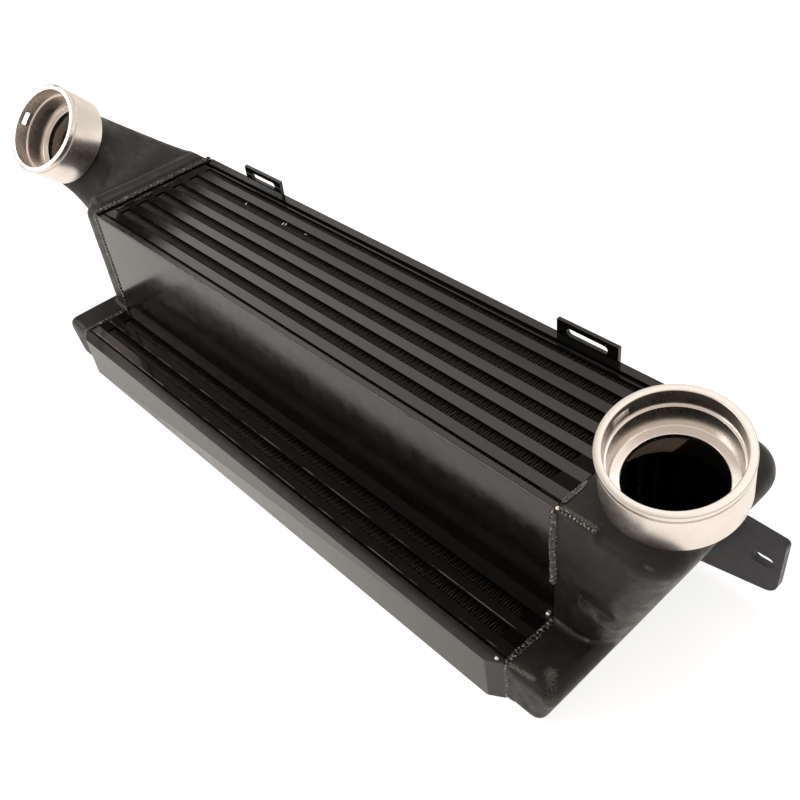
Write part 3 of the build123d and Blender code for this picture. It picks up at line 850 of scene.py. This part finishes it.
def paleFloor():
    # A matt board with a faint glow for whatever looks at it, so that it stays white and keeps a shadow
    mesh = bpy.data.meshes.new("floor")
    reach, height = floorStage["reach"], floorStage["height"]
    signs = ((-1, -1), (1, -1), (1, 1), (-1, 1))
    mesh.from_pydata([(x * reach, y * reach, height) for x, y in signs], [], [(0, 1, 2, 3)])
    floor = bpy.data.objects.new("floor", mesh)
    scene.collection.objects.link(floor)
    material = bpy.data.materials.new("pale studio floor")
    material.use_nodes = True
    tree = material.node_tree
    shader = tree.nodes["Principled BSDF"]
    shader.inputs["Base Color"].default_value = toLinear(floorStage["colour"])
    shader.inputs["Roughness"].default_value = floorStage["roughness"]
    shader.inputs["Specular IOR Level"].default_value = 0.0
    path = addNode(tree, "LightPath")
    direct = addNode(tree, "Math", {"operation": "MAXIMUM"}, {
        0: path.outputs["Is Camera Ray"], 1: path.outputs["Is Glossy Ray"]})
    seen = addNode(tree, "Math", {"operation": "MAXIMUM"}, {
        0: direct, 1: path.outputs["Is Transmission Ray"]})
    glow = addNode(tree, "Math", {"operation": "MULTIPLY", 1: floorStage["glow"]}, {0: seen})
    tones = {6: toLinear(room["warmth"]), 7: toLinear("#ffffff")}
    tint = addNode(tree, "Mix", {"data_type": "RGBA", **tones}, {0: path.outputs["Is Camera Ray"]})
    emission = addNode(tree, "Emission", {}, {"Strength": glow, "Color": tint})
    both = addNode(tree, "AddShader", {}, {0: shader.outputs["BSDF"], 1: emission})
    tree.links.new(both.outputs[0], tree.nodes["Material Output"].inputs["Surface"])
    material.cycles.emission_sampling = "NONE"  # the glow is for what sees the floor, and lights nothing
    mesh.materials.append(material)


def softRoom():
    # A white room with a long window behind and to the left; below the window's sloping sill one
    # corner of the room is dark
    world = bpy.data.worlds.new("soft white room")
    scene.world = world
    world.use_nodes = True
    tree = world.node_tree
    background = tree.nodes["Background"]
    direction = addNode(tree, "TexCoord").outputs["Generated"]
    path = addNode(tree, "LightPath")
    seen = addNode(tree, "Math", {"operation": "MAXIMUM"}, {
        0: path.outputs["Is Camera Ray"], 1: path.outputs["Is Transmission Ray"]})

    def towards(part):
        vector, start, end = room[part]
        settings = {"operation": "DOT_PRODUCT", 1: Vector(vector).normalized()}
        dot = addNode(tree, "VectorMath", settings, {0: direction}).outputs["Value"]
        span = {"From Min": start, "From Max": end, "interpolation_type": "SMOOTHSTEP"}
        return addNode(tree, "MapRange", span, {"Value": dot})

    height = addNode(tree, "SeparateXYZ", {}, {0: direction}).outputs["Z"]
    rising = {
        "From Min": room["windowFrom"], "From Max": room["windowTo"],
        "To Min": room["windowLow"], "To Max": room["windowHigh"],
    }
    pane = addNode(tree, "MapRange", rising, {"Value": height})
    fading = {"From Min": 0, "From Max": 1, "To Min": 1, "To Max": room["windowEdge"]}
    fade = addNode(tree, "MapRange", fading, {"Value": towards("edge")})  # towards its right edge
    pane = addNode(tree, "Math", {"operation": "MULTIPLY"}, {0: pane, 1: fade})
    corner = addNode(tree, "Mix", {"data_type": "FLOAT", 2: room["glossy"], 3: room["corner"]},
                     {0: towards("dark")})
    window = addNode(tree, "Mix", {"data_type": "FLOAT"}, {0: towards("sill"), 2: corner, 3: pane})
    glossy = addNode(tree, "Mix", {"data_type": "FLOAT", 2: room["glossy"]}, {0: towards("rear"), 3: window})
    plain = addNode(tree, "Mix", {"data_type": "FLOAT", 2: room["diffuse"]},
                    {0: path.outputs["Is Glossy Ray"], 3: glossy})
    strength = addNode(tree, "Mix", {"data_type": "FLOAT", 3: 1.0}, {0: seen, 2: plain})
    tree.links.new(strength.outputs[0], background.inputs["Strength"])
    tones = {6: toLinear(room["warmth"]), 7: toLinear("#ffffff")}
    tint = addNode(tree, "Mix", {"data_type": "RGBA", **tones}, {0: seen})
    tree.links.new(tint.outputs[2], background.inputs["Color"])
    world.cycles.sampling_method = "NONE"  # so that reflections get the whole of their own strength


def softLamp(name, place, target, width, height, radiance):
    lamp = bpy.data.lights.new(name, "AREA")
    lamp.shape = "RECTANGLE"
    lamp.size = width
    lamp.size_y = height
    lamp.energy = radiance * math.pi * width * height  # an area lamp's power for this radiance
    thing = bpy.data.objects.new(name, lamp)
    scene.collection.objects.link(thing)
    thing.location = place
    thing.rotation_euler = (Vector(target) - Vector(place)).to_track_quat("-Z", "Y").to_euler()
    return thing


paleFloor()
softRoom()
for name, values in lamps.items():
    softLamp(name, *values)

camera = {
    # where the photo's camera stands, its axes and its lens for this width of sensor
    "place": (0.49833, -0.28558, 0.55203),
    "right": (0.68025, 0.72557, -0.10401),
    "forward": (-0.59408, 0.46264, -0.65805),
    "lens": 43.596, "sensor": 36, "nearest": 0.01, "farthest": 50,
}


def photoCamera():
    data = bpy.data.cameras.new("camera")
    data.lens = camera["lens"]
    data.sensor_width = camera["sensor"]
    data.clip_start = camera["nearest"]
    data.clip_end = camera["farthest"]
    thing = bpy.data.objects.new("camera", data)
    scene.collection.objects.link(thing)
    forward = Vector(camera["forward"]).normalized()
    right = Vector(camera["right"])
    right = (right - forward * right.dot(forward)).normalized()
    up = right.cross(forward)
    turn = Matrix((right, up, -forward)).transposed()
    thing.matrix_world = Matrix.Translation(Vector(camera["place"])) @ turn.to_4x4()
    scene.camera = thing


photoCamera()
print("stage, lamps and camera made")
